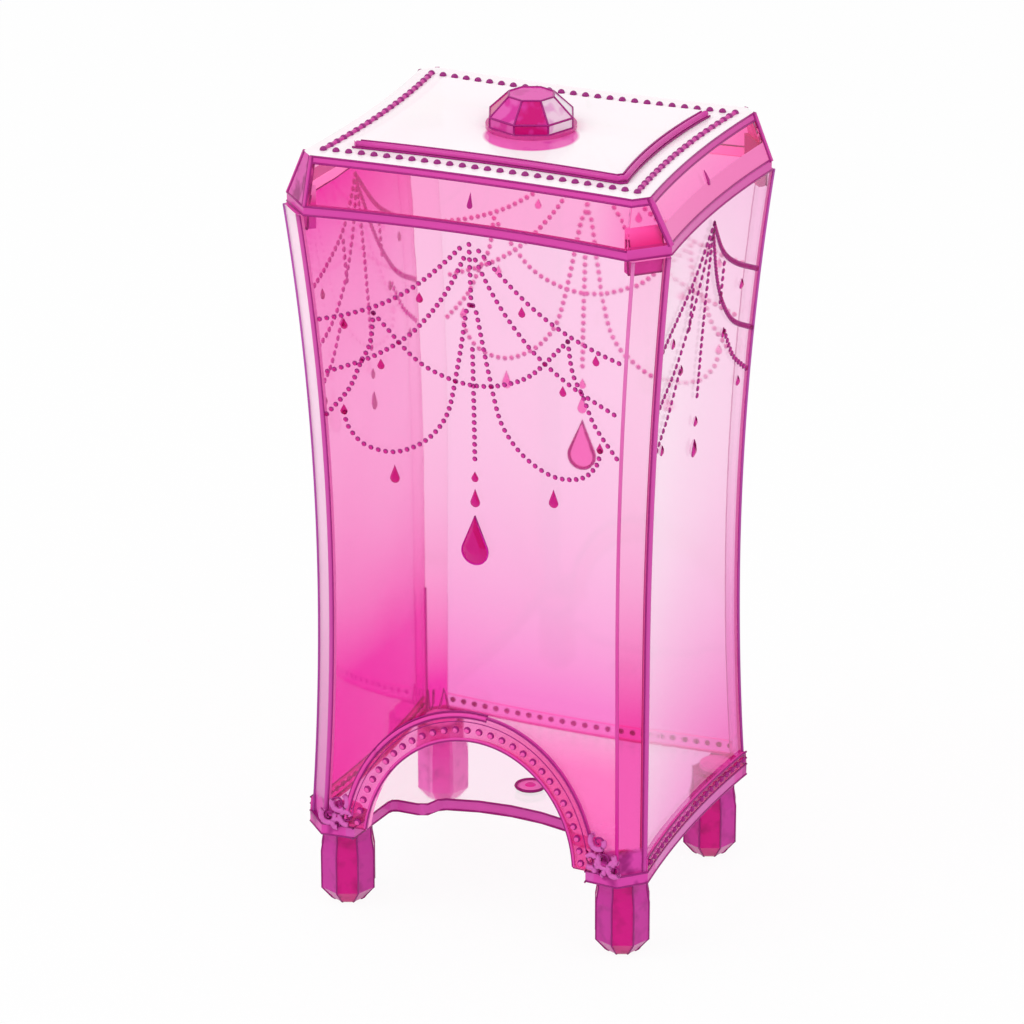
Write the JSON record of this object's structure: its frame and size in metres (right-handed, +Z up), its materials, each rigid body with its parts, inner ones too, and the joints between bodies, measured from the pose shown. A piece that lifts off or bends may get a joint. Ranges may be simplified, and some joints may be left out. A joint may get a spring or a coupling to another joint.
{
  "type": "cotton pad dispenser",
  "caption": "Tall waisted box of clear pink plastic on faceted feet, with an arched front opening for drawing out cotton pads and a lift-off hipped lid with a gem knob.",
  "frame": {"origin": "middle of the footprint, on the surface that the four feet stand on", "axes": "+Z up, the arched front opening faces -Y, +X to the right as seen from the front"},
  "size_m": [0.105, 0.0878, 0.22],
  "materials": {
    "clear_pink_wall": "transparent pink moulded plastic, polished",
    "clear_pale_floor": "transparent pale pink moulded plastic, polished",
    "clear_pink_lid": "transparent pink moulded plastic, polished",
    "deep_pink_foot": "deep pink clear plastic, faceted",
    "deep_pink_tab": "deep pink clear plastic",
    "pink_moulding": "deep pink clear plastic moulding",
    "bead_pink": "glossy deep pink half beads",
    "crystal_drop": "faceted magenta crystal, foil-like shine",
    "knob_cup_pink": "clear pink plastic cup",
    "gem_magenta": "faceted magenta clear plastic gem"
  },
  "bodies": {
    "case": {"arch_band": "pink_moulding", "arch_beads": "bead_pink", "back_skirting": "pink_moulding", "back_wall": "clear_pink_wall", "back_wall_drops": "crystal_drop", "corner_strip_back_left": "clear_pink_wall", "corner_strip_back_right": "clear_pink_wall", "corner_strip_front_left": "clear_pink_wall", "corner_strip_front_right": "clear_pink_wall", "floor_plate": "clear_pale_floor", "foot_back_left": "deep_pink_foot", "foot_back_right": "deep_pink_foot", "foot_front_left": "deep_pink_foot", "foot_front_right": "deep_pink_foot", "front_wall": "clear_pink_wall", "front_wall_drops": "crystal_drop", "left_skirting": "pink_moulding", "left_wall": "clear_pink_wall", "left_wall_drops": "crystal_drop", "right_skirting": "pink_moulding", "right_wall": "clear_pink_wall", "right_wall_drops": "crystal_drop", "skirting_beads": "bead_pink"},
    "lid": {"gem_knob": "gem_magenta", "knob_cup": "knob_cup_pink", "lid_beads": "bead_pink", "lid_drops": "crystal_drop", "lid_shell": "clear_pink_lid", "lid_tab_back_left": "deep_pink_tab", "lid_tab_back_right": "deep_pink_tab", "lid_tab_front_left": "deep_pink_tab", "lid_tab_front_right": "deep_pink_tab"}
  },
  "joints": [
    {"name": "lid_lift", "type": "slide", "parent": "case", "child": "lid", "axis": [0, 0, 1], "range_m": [0, 0.06]}
  ]
}
